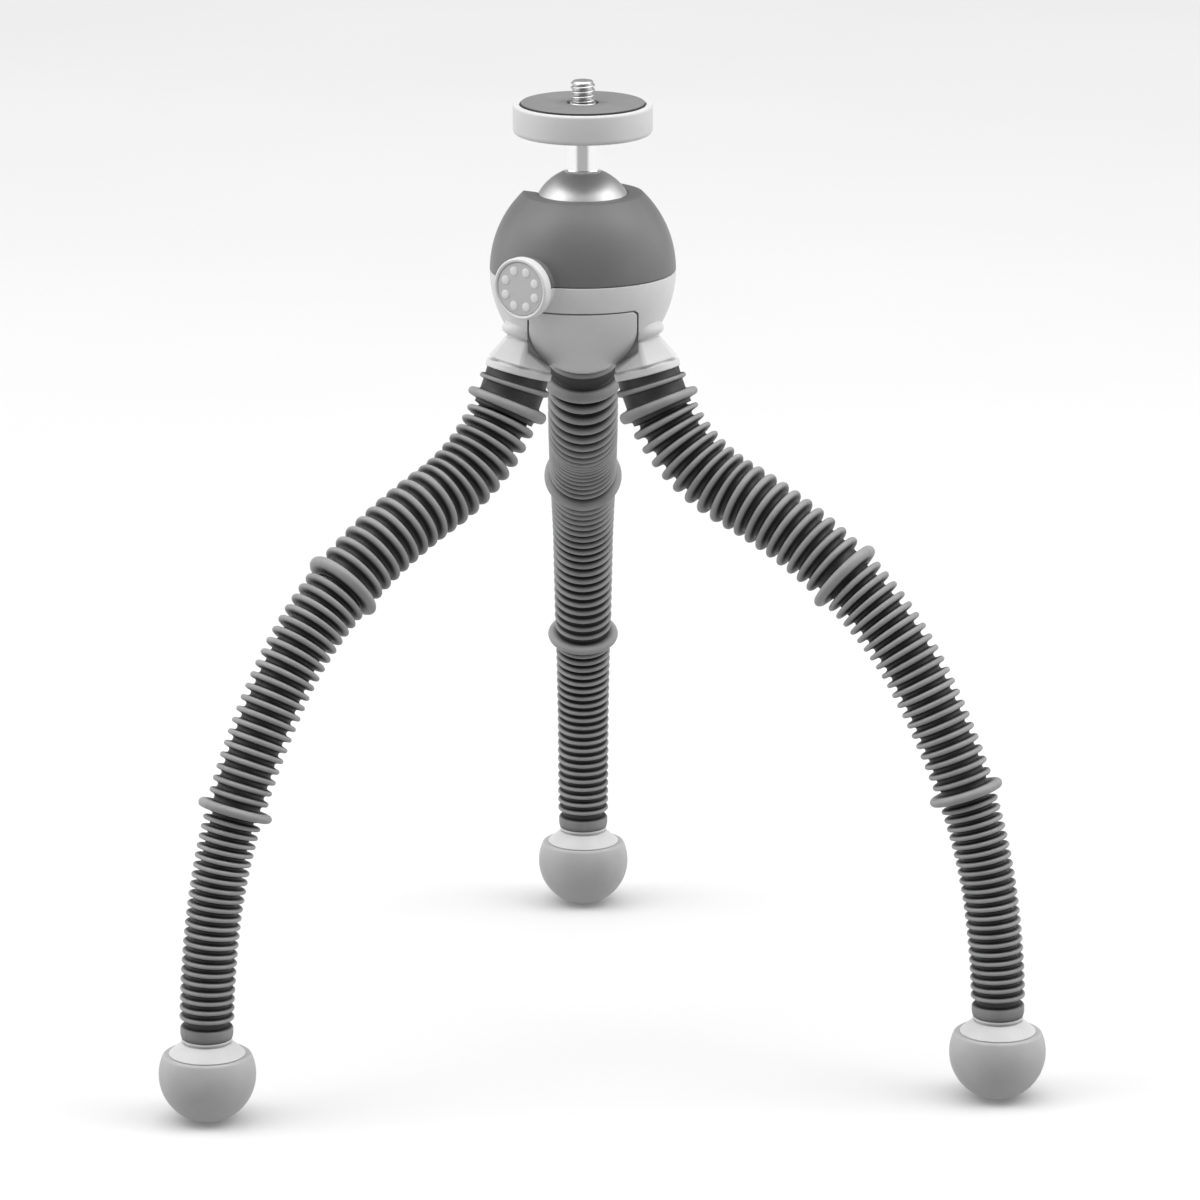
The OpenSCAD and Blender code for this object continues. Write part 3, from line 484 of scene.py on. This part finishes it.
# Dark plastics, and rubber
DARK_SHELL = moulded("dark_shell", grey(0.15), spread=0.05, rough=0.42, grain=2600, depth=0.05)
INNER_BLACK = moulded("inner_black", grey(0.025), spread=0.2, rough=0.5, grain=1800, depth=0.06)
CORE_BLACK = moulded("core_black", grey(0.03), spread=0.2, rough=0.5, grain=1800, depth=0.06)
PAD_RUBBER = moulded("pad_rubber", grey(0.19), spread=0.08, rough=0.7, grain=1900, depth=0.12, specular=0.35)
FOOT_GREY = moulded("foot_grey", grey(0.42), spread=0.06, rough=0.58, grain=1700, depth=0.08,
                    specular=0.4, sheen=0.08)
# The groove grey is painted shade and the rim grey a painted highlight
SLEEVE = ribbed("sleeve_rubber", groove=0.025, rim=0.30)

# Metals
BALL_SATIN = moulded("ball_satin", grey(0.52), spread=0.04, rough=0.43, grain=3200, depth=0.01, metallic=1.0)
SCREW_STEEL = moulded("screw_steel", grey(0.62), spread=0.04, rough=0.30, grain=2400, depth=0.01,
                      metallic=1.0)
STEM_CHROME = turned("stem_chrome", grey(0.95), rough=0.12, marks=5200, depth=0.004)
INNER_STEEL = turned("inner_steel", grey(0.55), rough=0.34, marks=4200, depth=0.02)
SHOE_BRASS = turned("shoe_brass", (0.66, 0.50, 0.24), rough=0.32, marks=4200, depth=0.02)

# Legs: points round a sleeve as (angle, rise), with a fine moulding seam on either side

COLUMNS = 48
SEAM_HALF = 0.02
SEAM_RISE = 0.06
AROUND = [(2 * math.pi * n / COLUMNS, 0.0) for n in range(COLUMNS)]
for side in (0.0, math.pi):
    AROUND = [(a, rise if abs(a - side) > TINY else SEAM_RISE) for a, rise in AROUND]
    AROUND += [((side - SEAM_HALF) % (2 * math.pi), 0.0), (side + SEAM_HALF, 0.0)]
AROUND.sort()

# Rings of points lie further apart than POINT_GAP, and the bore takes only every sixth of them
POINT_GAP = 0.01
BORE_STEP = 6

# The painted light of the sleeves, a highlight on the rims and shade in the grooves, goes by the height of
# the ribs, or by this where there are none
CREST_LEAST = 1.2


def rib_path(at, outer, thick, valley, foot):
    """Groove, root fillet, flank and rounded rim of one rib, as (place along the leg, radius)."""
    half = thick / 2
    tip = half * TIP_PART
    soft = min(tip, (outer - valley) * SOFT_PART)
    rise = outer - soft
    flank = [(-half - foot, valley), (-half - foot * ROOT_OUT, valley + foot * ROOT_UP)]
    flank.append((-half, valley + foot))
    rim = [(-tip * math.cos(a), rise + soft * math.sin(a)) for a in np.linspace(0, math.pi, 7)]
    back = [(-x, r) for x, r in reversed(flank)]
    return [(at + x, r) for x, r in flank + rim + back]


def link_path(k):
    """Outer profile of one link, from its start to its end."""
    valley = VALLEYS[k]
    path = [(JOINT_FIT, valley)]
    marks = []
    for i in range(RIBS[k]):
        share = i / (RIBS[k] - 1)
        outer = RIB_FROM[k] + (RIB_TO[k] - RIB_FROM[k]) * share
        groove = PITCHES[k] * (1 - RIB_PART)
        marks.append((LEADS[k] + i * PITCHES[k], outer, PITCHES[k] * RIB_PART, groove * ROOT_PART))
    for at, outer, thick in RINGS.get(k, ()):
        marks.append((at, outer, thick, RING_ROOT))
    for at, outer, thick, foot in sorted(marks):
        path += rib_path(at, outer, thick, valley, foot)
    if k == LINKS:
        start = LENS[k] - END_LEN
        stop = LENS[k] - END_CUT
        path.append((start - END_DIP, valley))
        path += [(start + s, END_R - below) for s, below in END_START]
        path += [(stop - s, END_R - below) for s, below in END_STOP]
    else:
        path.append((LENS[k] - JOINT_FIT, valley))
    return path


def cut_at(k):
    """A groove near the middle of link k, where one skin ends and the next begins."""
    i = round((LENS[k] / 2 - LEADS[k]) / PITCHES[k] - 0.5)
    return LEADS[k] + (i + 0.5) * PITCHES[k]


def leg_skin(leg, k):
    """Ribbed sleeve across joint k, from the middle of link k - 1 to the middle of link k."""
    first = JOINT_FIT if k == 1 else cut_at(k - 1)
    last = LENS[k] - END_CUT if k == LINKS else cut_at(k)
    upper = [(first, VALLEYS[k - 1])] + [p for p in link_path(k - 1) if p[0] > first + POINT_GAP]
    lower = [p for p in link_path(k) if p[0] < last - POINT_GAP]
    lower.append((last, END_R - END_FACE if k == LINKS else VALLEYS[k]))
    stations = [(k - 1, s, r) for s, r in upper] + [(k, s, r) for s, r in lower]
    verts, faces = [], []
    count = len(AROUND)

    def ring(link, s, r, rise):
        place = station(leg, link, s)
        for a, seam in AROUND:
            radius = r + seam * rise
            verts.append(place @ Vector((radius * math.cos(a), radius * math.sin(a), 0)))

    for link, s, r in stations:
        ring(link, s, r, 1)
    inner = [(link, s) for link, s, _ in stations][::-BORE_STEP]
    ends = [(k, last)] + inner[1:-1] + [(k - 1, first)]
    for link, s in ends:
        ring(link, s, BORES[link], 0)
    rows = len(stations) + len(ends)
    for row in range(rows):
        a, b = row * count, ((row + 1) % rows) * count
        for n in range(count):
            m = (n + 1) % count
            faces.append((a + n, a + m, b + m, b + n))
    obj = add_mesh(f"{leg}_skin_{k}", verts, faces, sharp=60)
    face_out(obj)
    # Height of the ribs, from which the sleeve's material paints shade in the grooves and a highlight on the
    # rims
    crest = [(r - VALLEYS[link]) / max(RIB_TO[link] - VALLEYS[link], CREST_LEAST) for link, _, r in stations]
    crest = np.clip(crest + [0.0] * len(ends), 0, 1)
    painted_light = obj.data.attributes.new("crest", "FLOAT", "POINT")
    painted_light.data.foreach_set("value", np.repeat(crest, count))
    obj.data.materials.append(SLEEVE)
    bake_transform(obj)
    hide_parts(f"{leg}_sleeve_{k}")
    if k == 1:
        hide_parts("leg_root_sleeves")


def foot_bowl(leg):
    """Bowl of a foot: a ball that stands on a flat, with a lip and the hole for its collar."""
    middle = FOOT_R - FOOT_FLAT - FOOT_H
    path = [(0, -FOOT_H, 0)]
    for z in np.linspace(-FOOT_H, FOOT_TOP - FOOT_LIP, 25):
        path.append((math.sqrt(FOOT_R ** 2 - (z - middle) ** 2), z, 0))
    edge = path[-1][0]
    path += [(edge - FOOT_LIP_IN, FOOT_TOP, 0.7), (COLLAR_PLUG_R + FIT, FOOT_TOP - 0.1, 0)]
    path += [(COLLAR_PLUG_R + FIT, COLLAR_END - FIT, 0), (0, COLLAR_END - FIT, 0)]
    bowl = lathe(f"{leg}_foot_bowl", path, station(leg, LINKS, LENS[LINKS]), 96)
    dress(bowl, f"{leg}_link_{LINKS}", "foot_rubber", FOOT_GREY, f"{leg}_foot")


def foot_ring(leg):
    """Collar of a foot: a thin ring under the sleeve, a groove and a cone, over the plug in the bowl."""
    neck = END_CUT - COLLAR_FIT
    path = [(COLLAR_BORE_R, -FIT, 0), (COLLAR_THROAT_R, -FIT, 0), (COLLAR_THROAT_R, neck, 0)]
    path += [(COLLAR_NECK_R, neck, 0.22), (COLLAR_NECK_R, COLLAR_NECK, 0.2)]
    path += [(COLLAR_GROOVE_R, COLLAR_GROOVE_TOP, 0.1), (COLLAR_GROOVE_R, COLLAR_GROOVE_LOW, 0.1)]
    path += [(COLLAR_CONE_R, COLLAR_CONE, 0.25), (COLLAR_EDGE_R, COLLAR_EDGE, 0.15)]
    path += [(COLLAR_PLUG_R, COLLAR_EDGE - 0.1, 0), (COLLAR_PLUG_R, COLLAR_END, 0), (0, COLLAR_END, 0)]
    path += [(0, COLLAR_BORE_END, 0), (COLLAR_BORE_R, COLLAR_BORE_END, 0)]
    collar = lathe(f"{leg}_foot_ring", path, station(leg, LINKS, LENS[LINKS]), 96)
    dress(collar, f"{leg}_link_{LINKS}", "collar_light", COLLAR_LIGHT, f"{leg}_foot_collar")


for leg in LEGS:
    for k in range(1, LINKS + 1):
        leg_skin(leg, k)
for leg in LEGS:
    foot_bowl(leg)
    foot_ring(leg)

# Head


def head_ball():
    """Satin ball with its flat and the hole for the stem's pin."""
    path = [(0, -BALL_R, 0)]
    for a in np.linspace(-math.pi / 2, math.asin(BALL_FLAT / BALL_R), 49)[1:]:
        path.append((BALL_R * math.cos(a), BALL_R * math.sin(a), 0))
    hole_end = BALL_FLAT - PIN_LEN - FIT
    path += [(PIN_R + FIT, BALL_FLAT, 0), (PIN_R + FIT, hole_end, 0), (0, hole_end, 0)]
    dress(lathe("ball", path, HEAD, 128), "head", "ball_satin", BALL_SATIN, "head_ball")


def head_stem():
    """Chrome stem with a filleted foot and a pin below it."""
    base = BALL_FLAT + FIT
    path = [(0, BALL_FLAT - PIN_LEN, 0), (PIN_R, BALL_FLAT - PIN_LEN, 0.3), (PIN_R, base, 0)]
    path.append((STEM_FOOT_R, base, 0.15))
    for a in np.linspace(0.1, math.pi / 2, 7):
        fillet = STEM_FILLET * (1 - math.sin(a))
        path.append((STEM_R + fillet, base + STEM_FOOT_H - STEM_FILLET * math.cos(a), 0))
    path += [(STEM_R, STEM_TOP, 0.3), (0, STEM_TOP, 0)]
    dress(lathe("stem", path, HEAD, 96), "head", "stem_chrome", STEM_CHROME, "head_stem")


def camera_screw():
    """1/4 inch screw: a thread wound round a cylinder, with its flange, shoulder and chamfer."""
    base = STEM_TOP + FIT
    start = base + THREAD_FROM
    end = DISC_RISE + DISC_H + PAD_PROUD + SCREW_LEN
    columns = 64
    rows = int((end - start) / THREAD_STEP)
    below = [(0.0, base), (FLANGE_R, base), (FLANGE_R, base + FLANGE_T - FLANGE_EDGE)]
    below += [(FLANGE_R - FLANGE_EDGE, base + FLANGE_T), (SHOULDER_R, base + FLANGE_T)]
    below += [(SHOULDER_R - inward, start - down) for inward, down in SHOULDER_EDGE]
    profile = [(r, z, False) for r, z in below]
    profile += [(0.0, start + (end - start) * n / rows, True) for n in range(rows + 1)]
    profile += [(SCREW_TIP_R, end, False), (0.0, end, False)]
    verts, faces = [], []
    for r, z, threaded in profile:
        for n in range(columns):
            a = 2 * math.pi * n / columns
            radius = r
            if threaded:
                phase = (z - start) / SCREW_PITCH - n / columns
                crest = (0.5 - 0.5 * math.cos(2 * math.pi * phase)) ** THREAD_CREST
                fade = min(1.0, (z - start) / THREAD_FADE + 0.1)
                radius = SCREW_ROOT + (SCREW_R - SCREW_ROOT) * crest * fade
                radius = min(radius, SCREW_R - SCREW_CHAMFER + (end - z) * SCREW_SLOPE)
            verts.append(HEAD @ Vector((radius * math.cos(a), radius * math.sin(a), z)))
    for row in range(len(profile) - 1):
        a, b = row * columns, (row + 1) * columns
        for n in range(columns):
            m = (n + 1) % columns
            faces.append((a + n, a + m, b + m, b + n))
    obj = add_mesh("thread", verts, faces, sharp=75)
    merge_points(obj.data, 1e-7)
    face_out(obj)
    dress(obj, "head", "screw_steel", SCREW_STEEL, "camera_screw")


def platform():
    """Round platform with the pad's recess, and a smaller one for the screw's flange."""
    bore, recess, pocket = STEM_R + FIT, PAD_R + PAD_GAP, FLANGE_R + 2 * FIT
    floor = STEM_TOP - DISC_RISE - FIT
    path = [(bore, 0, 0.2), (DISC_R, 0, 1.3), (DISC_R, DISC_H, 1.65), (recess, DISC_H - DISC_EDGE, 0.2)]
    path += [(recess, SEAT, 0), (pocket, SEAT, 0), (pocket, floor, 0), (bore, floor, 0)]
    dress(lathe("platform", path, DECK, 128), "platform", "disc_light", DISC_LIGHT, "platform_disc")


def platform_pad():
    """Rubber pad, and a black ring in the gap round it that is painted shade of the gap."""
    base = SEAT + FIT
    top = base + PAD_T
    path = [(PAD_HOLE, base, 0), (PAD_R, base, 0), (PAD_R, top, 0.15), (PAD_HOLE, top, 0.3)]
    dress(lathe("pad", path, DECK, 128), "platform", "pad_rubber", PAD_RUBBER, "platform_pad")
    # Black ring: painted shade in the gap round the pad
    inside, wall, outside = PAD_R - SHADE_RING_IN, PAD_R + FIT, PAD_R + PAD_GAP - SHADE_RING_FIT
    foot, low, high = base + 0.01, DISC_H - SHADE_RING_LOW, top - SHADE_RING_HIGH
    path = [(inside, foot, 0), (outside, foot, 0), (outside, low, 0.1)]
    path += [(wall, low, 0.05), (wall, high, 0.04), (inside, high, 0)]
    dress(lathe("pad_shade_ring", path, DECK, 128), "platform", "pad_rubber", INNER_BLACK)


head_ball()
head_stem()
camera_screw()
platform()
platform_pad()

# Lock knob


def lock_knob():
    """Round knob with a rim, and the cap in its recess with a ring of raised dots."""
    face = KNOB_T - KNOB_RECESS
    rim = KNOB_R - KNOB_RIM
    path = [(KNOB_BORE_R, 0, 0), (KNOB_R, 0, 0.6), (KNOB_R, KNOB_T, 0.75), (rim, KNOB_T, 0.5)]
    path += [(rim, face, 0), (0, face, 0), (0, face - KNOB_WEB, 0), (KNOB_BORE_R, face - KNOB_WEB, 0)]
    dress(lathe("knob", path, KNOB, 96), "knob", "knob_light", KNOB_LIGHT, "lock_knob")
    low = face + FIT
    top = low + CAP_T
    path = [(0, low, 0), (rim - FIT, low, 0), (rim - FIT, top, 0.25), (0, top, 0)]
    dress(lathe("knob_face", path, KNOB, 96), "knob", "knob_cap", KNOB_FACE, "knob_cap")
    path = [(0, -DOT_ROOT, 0), (DOT_R, -DOT_ROOT, 0), (DOT_R, DOT_WALL, 0)]
    for a in np.linspace(0.25, math.pi / 2, 6)[:-1]:
        path.append((DOT_R * math.cos(a), DOT_WALL + (DOT_H - DOT_WALL) * math.sin(a), 0))
    path.append((0, DOT_H, 0))
    for n in range(DOTS):
        place = KNOB @ spin((n + 0.5) * 360 / DOTS, "Z") @ shift(DOT_RING, 0, top)
        dress(lathe(f"knob_dot_{n + 1}", path, place, 32), "knob", "knob_light", KNOB_DOT)


lock_knob()

# Hub shells


def soften(node, name, voxel, passes):
    """A copy of a CAD node with its edges rounded, as a moulding has them."""
    mesh = nodes[node].data.copy()
    merge_points(mesh, 1e-6)
    rough = bpy.data.objects.new(name + "_rough", mesh)
    scene.collection.objects.link(rough)
    remesh = rough.modifiers.new("remesh", "REMESH")
    remesh.mode = "VOXEL"
    remesh.voxel_size = voxel * MM
    smooth = rough.modifiers.new("smooth", "SMOOTH")
    smooth.factor = 0.5
    smooth.iterations = passes
    done = bpy.data.meshes.new_from_object(rough.evaluated_get(bpy.context.evaluated_depsgraph_get()))
    bpy.data.objects.remove(rough)
    done.name = name
    done.polygons.foreach_set("use_smooth", [True] * len(done.polygons))
    obj = bpy.data.objects.new(name, done)
    scene.collection.objects.link(obj)
    return obj


def true_up(obj, arc, near, reach):
    """Points close to the hub's own profile go back on it, so that the round walls stay smooth."""
    mesh = obj.data
    co = np.zeros(len(mesh.vertices) * 3)
    mesh.vertices.foreach_get("co", co)
    co = co.reshape(-1, 3) / MM
    r = np.hypot(co[:, 0], co[:, 1])
    z = co[:, 2] - SEAM
    centre = HUB_R - arc
    away = np.hypot(r - centre, z)
    off = np.abs(away - arc)
    share = 1 - np.clip((off - near) / (reach - near), 0, 1)
    share = share * share * (3 - 2 * share)
    grown = arc / np.maximum(away, TINY)
    new_r = centre + (r - centre) * grown
    scale = 1 + share * (new_r / np.maximum(r, TINY) - 1)
    co[:, 0] *= scale
    co[:, 1] *= scale
    co[:, 2] = SEAM + z * (1 + share * (grown - 1))
    mesh.vertices.foreach_set("co", (co * MM).ravel())
    mesh.update()


upper = soften("upper_shell", "upper_dome", voxel=0.3, passes=6)
true_up(upper, UPPER_ARC, near=0.06, reach=0.16)
dress(upper, "hub", "shell_dark", DARK_SHELL, "upper_shell")
lower = soften("lower_shell", "lower_dome", voxel=0.2, passes=6)
true_up(lower, LOWER_ARC, near=0.06, reach=0.16)
dress(lower, "hub", "shell_light", LIGHT_SHELL, "lower_shell")
panels = soften("hub_panels", "shield_panels", voxel=0.22, passes=5)
true_up(panels, LOWER_ARC, near=0.05, reach=0.14)
dress(panels, "hub", "panel_light", LIGHT_PANEL, "hub_panels")

# Inner pieces: these CAD nodes stay, with a finish of their own

INNER = {"hub_screws": INNER_STEEL, "chassis": INNER_BLACK, "ball_race": RACE_WHITE,
         "clamp_screw": INNER_STEEL, "brake_shoe": SHOE_BRASS, "leg_anchors": INNER_STEEL}
for leg in LEGS:
    for k in range(1, LINKS + 1):
        INNER[f"{leg}_core_{k}"] = CORE_BLACK
for name, material in INNER.items():
    mesh = nodes[name].data
    mesh.materials.clear()
    mesh.materials.append(material)

# Floor and cards

CARD_R = 600
CARD_LOW = 5
CARD_HIGH = 230
CARD_STEPS = 24


def card(name, start, end, level):
    """Curved card round the set that only gloss sees, as chrome is lit in a tent. 0 degrees is the front."""
    verts = []
    for a in np.linspace(math.radians(start), math.radians(end), CARD_STEPS + 1):
        x, y = CARD_R * math.sin(a), -CARD_R * math.cos(a)
        verts += [(x, y, CARD_LOW), (x, y, CARD_HIGH)]
    faces = [(2 * i, 2 * i + 2, 2 * i + 3, 2 * i + 1) for i in range(CARD_STEPS)]
    obj = add_mesh(name, verts, faces, sharp=80)
    obj.data.materials.append(glowing(name, level))
    obj.visible_camera = False
    obj.visible_diffuse = False
    obj.visible_shadow = False


def backdrop():
    """A paper sweep: floor, bend and wall."""
    width, front, back, wall, bend = 6000, -4000, 3500, 4000, 1200
    line = [(front, 0)]
    line += [(back + bend * math.sin(a), bend * (1 - math.cos(a))) for a in np.linspace(0, math.pi / 2, 17)]
    line.append((back + bend, wall))
    verts = [(x, y, z) for y, z in line for x in (-width, width)]
    faces = [(2 * i, 2 * i + 1, 2 * i + 3, 2 * i + 2) for i in range(len(line) - 1)]
    sweep = add_mesh("paper_sweep", verts, faces, sharp=80)
    sweep.data.materials.append(paper("floor_paper"))
    sweep.visible_diffuse = False


card("dark_card", start=-40, end=34, level=0.42)
card("left_card", start=-165, end=-52, level=0.95)
card("right_card", start=46, end=165, level=0.95)
backdrop()

# Light, with places and sizes in metres and power in watts

AIM = Vector((0, 0, 0.14))


def softbox(name, place, size, power):
    light = bpy.data.lights.new(name, "AREA")
    light.shape = "RECTANGLE"
    light.size, light.size_y = size
    light.energy = power
    obj = bpy.data.objects.new(name, light)
    obj.location = place
    obj.rotation_mode = "QUATERNION"
    obj.rotation_quaternion = (AIM - Vector(place)).to_track_quat("-Z", "Y")
    scene.collection.objects.link(obj)


def studio():
    """White surroundings: dim in front, bright at the sides, with a glow from the floor and the roof."""
    world = bpy.data.worlds.new("studio")
    world.use_nodes = True
    sky = world.node_tree
    split = sky.nodes.new("ShaderNodeSeparateXYZ")
    sky.links.new(sky.nodes.new("ShaderNodeTexCoord").outputs["Generated"], split.inputs["Vector"])
    across = reckon(sky, "ABSOLUTE", split.outputs["X"])
    height = split.outputs["Z"]
    front = ramp(sky, split.outputs["Y"], 0.15, 0.77, start=-0.95, end=-0.1)
    sides = ramp(sky, across, 1.0, 2.3, start=0.45, end=0.9)
    bounce = ramp(sky, height, 0.55, 0.0, start=-0.2, end=0.05)
    above = ramp(sky, height, 0.0, 1.0, start=-0.2, end=0.05)
    roof = ramp(sky, height, 0.0, 0.9, start=0.72, end=0.98)
    walls = reckon(sky, "MULTIPLY", reckon(sky, "MULTIPLY", front, sides), above)
    level = reckon(sky, "ADD", reckon(sky, "ADD", walls, bounce), roof)
    tent = sky.nodes["Background"]
    tent.inputs["Color"].default_value = (1, 1, 1, 1)
    sky.links.new(level, tent.inputs["Strength"])
    scene.world = world
    scene.view_settings.view_transform = "Standard"


softbox("left_box", place=(-0.95, -0.2, 1.35), size=(0.9, 0.9), power=6)
softbox("right_box", place=(0.95, -0.15, 1.35), size=(0.9, 0.9), power=6)
softbox("top_box", place=(0, -0.35, 1.6), size=(1.2, 0.9), power=4)
studio()

# Camera, at the photograph's viewing angle: place in metres, and degrees down and to the right

CAMERA_PLACE = (0, -1.8264, 0.6015)
CAMERA_DOWN = 14.77
CAMERA_RIGHT = 0.14
CAMERA_LENS = 214.6
SENSOR = 36

camera = bpy.data.cameras.new("camera")
camera.sensor_width = SENSOR
camera.lens = CAMERA_LENS
camera.clip_end = 50
eye = bpy.data.objects.new("camera", camera)
eye.location = CAMERA_PLACE
eye.rotation_euler = (math.radians(90 - CAMERA_DOWN), 0, math.radians(-CAMERA_RIGHT))
scene.collection.objects.link(eye)
scene.camera = eye
